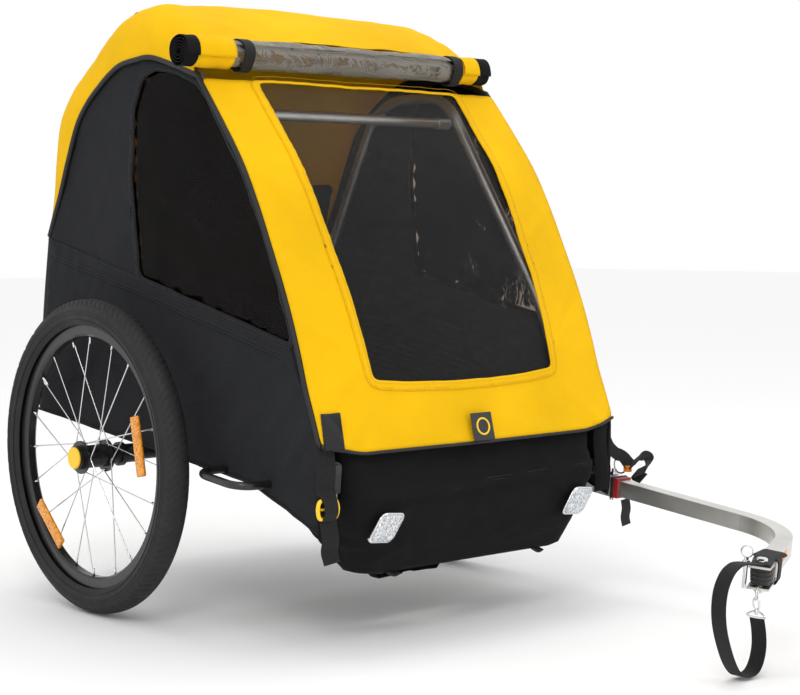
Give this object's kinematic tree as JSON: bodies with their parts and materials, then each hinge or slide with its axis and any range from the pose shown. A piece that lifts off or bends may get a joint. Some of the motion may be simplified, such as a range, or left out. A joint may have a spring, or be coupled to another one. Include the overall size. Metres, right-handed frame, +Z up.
{
  "type": "child bicycle trailer",
  "caption": "Two-wheeled child bicycle trailer with a folding tube frame, yellow and black fabric cabin, mesh front window, rolled rain cover, quick-release wheels and curved tow bar.",
  "frame": {"origin": "on the ground under the middle of the trailer and its tow bar, without the safety strap", "axes": "+X to the trailer's left, -Y forward along the tow bar, +Z up; the body is parked nose-down by 6.2 degrees"},
  "size_m": [0.8014, 1.2696, 0.964],
  "materials": {
    "aluminium": "satin",
    "black_steel": "satin",
    "bright_steel": "polished",
    "black_plastic": "matte",
    "black_fabric": "woven",
    "yellow_fabric": "woven",
    "tinted_film": "gloss",
    "mesh_net": "net",
    "webbing": "webbing",
    "seat_fabric": "woven",
    "yellow_plastic": "satin",
    "tyre_rubber": "matte",
    "connector_rubber": "matte",
    "reflector_clear": "prismatic",
    "reflector_orange": "prismatic",
    "red_plastic": "satin"
  },
  "bodies": {
    "base": {"base_rails": "aluminium", "cross_tubes": "aluminium", "axle_tube": "black_steel", "axle_receivers": "black_plastic", "hinge_brackets": "black_steel", "hinge_pins": "bright_steel", "wheel_guards": "black_steel", "floor_pan": "black_fabric", "footwell": "black_fabric", "nose_bumper": "black_fabric", "nose_fittings": "reflector_clear", "side_panel_right": "black_fabric", "side_panel_left": "black_fabric", "side_window_right": "tinted_film", "side_window_left": "tinted_film", "roof_cover": "yellow_fabric", "front_panel": "yellow_fabric", "front_mesh": "mesh_net", "rear_panel": "black_fabric", "rolled_rain_cover": "yellow_fabric", "roll_straps": "webbing", "corner_straps": "webbing", "corner_buckles": "yellow_plastic", "seat_cushion": "seat_fabric", "seat_back": "seat_fabric", "harness": "webbing", "tow_receiver": "aluminium", "receiver_gasket": "black_plastic", "tow_bar": "aluminium", "tow_bar_collar": "red_plastic", "pin_strap": "webbing", "end_bracket": "bright_steel", "bar_wrap": "webbing", "hook_ring": "bright_steel", "connector_bolt": "bright_steel", "safety_strap": "webbing", "snap_hook": "bright_steel"},
    "side_frame_r": {"side_frame_right": "aluminium"},
    "side_frame_l": {"side_frame_left": "aluminium"},
    "front_bar": {"front_crossbar": "aluminium"},
    "rear_bar": {"rear_crossbar": "aluminium"},
    "axle_r": {"stub_axle_right": "bright_steel"},
    "axle_l": {"stub_axle_left": "bright_steel"},
    "wheel_r": {"tyre_right": "tyre_rubber", "rim_right": "black_steel", "spokes_right": "bright_steel", "hub_right": "black_steel", "bearings_right": "bright_steel", "wheel_reflectors_right": "reflector_orange"},
    "wheel_l": {"tyre_left": "tyre_rubber", "rim_left": "black_steel", "spokes_left": "bright_steel", "hub_left": "black_steel", "bearings_left": "bright_steel", "wheel_reflectors_left": "reflector_orange"},
    "button_r": {"hub_button_right": "yellow_plastic"},
    "button_l": {"hub_button_left": "yellow_plastic"},
    "tow_pin": {"tow_bar_pin": "bright_steel"},
    "connector": {"flex_connector": "connector_rubber"},
    "parked_pin": {"hitch_pin": "bright_steel"}
  },
  "joints": [
    {"name": "side_fold", "type": "hinge", "parent": "base", "child": "side_frame_r", "pos_m": [-0.27, 0.339, 0.319], "axis": [0, 0.9942, 0.108], "range_deg": [0, 90], "deforming": ["seat_cushion", "seat_back", "harness", "roof_cover", "front_panel", "front_mesh", "rear_panel", "side_panel_right", "side_panel_left", "side_window_right", "side_window_left", "rolled_rain_cover", "roll_straps", "nose_bumper"]},
    {"name": "left_side_fold", "type": "hinge", "parent": "base", "child": "side_frame_l", "pos_m": [0.27, 0.339, 0.295], "axis": [0, 0.9942, 0.108], "range_deg": [-90, 0]},
    {"name": "front_bar_drop", "type": "slide", "parent": "base", "child": "front_bar", "axis": [0, 0, -1], "range_m": [0, 0.526]},
    {"name": "rear_bar_drop", "type": "slide", "parent": "base", "child": "rear_bar", "axis": [0, 0, -1], "range_m": [0, 0.516]},
    {"name": "right_wheel_release", "type": "slide", "parent": "base", "child": "axle_r", "axis": [-1, 0, 0], "range_m": [0, 0.05]},
    {"name": "right_wheel_spin", "type": "hinge", "parent": "axle_r", "child": "wheel_r", "pos_m": [-0.365, 0.339, 0.248], "axis": [1, 0, 0], "continuous": true},
    {"name": "right_button_press", "type": "slide", "parent": "axle_r", "child": "button_r", "axis": [1, 0, 0], "range_m": [0, 0.003], "stiffness_N_per_m": 1500},
    {"name": "left_wheel_release", "type": "slide", "parent": "base", "child": "axle_l", "axis": [1, 0, 0], "range_m": [0, 0.05]},
    {"name": "left_wheel_spin", "type": "hinge", "parent": "axle_l", "child": "wheel_l", "pos_m": [0.365, 0.339, 0.248], "axis": [1, 0, 0], "continuous": true},
    {"name": "left_button_press", "type": "slide", "parent": "axle_l", "child": "button_l", "axis": [-1, 0, 0], "range_m": [0, 0.003], "stiffness_N_per_m": 1500},
    {"name": "tow_pin_lift", "type": "slide", "parent": "base", "child": "tow_pin", "axis": [0, -0.108, 0.9942], "range_m": [0, 0.052]},
    {"name": "connector_turn", "type": "hinge", "parent": "base", "child": "connector", "pos_m": [0.09502, -0.61133, 0.13234], "axis": [0, -0.108, 0.9942], "range_deg": [-90, 90]},
    {"name": "hitch_pin_lift", "type": "slide", "parent": "base", "child": "parked_pin", "axis": [0, -0.108, 0.9942], "range_m": [0, 0.04]}
  ],
  "couplings": [
    {"joint": "left_side_fold", "follows": "side_fold", "ratio": -1},
    {"joint": "front_bar_drop", "follows": "side_fold", "m_per_rad": 0.3348},
    {"joint": "rear_bar_drop", "follows": "side_fold", "m_per_rad": 0.32843}
  ]
}
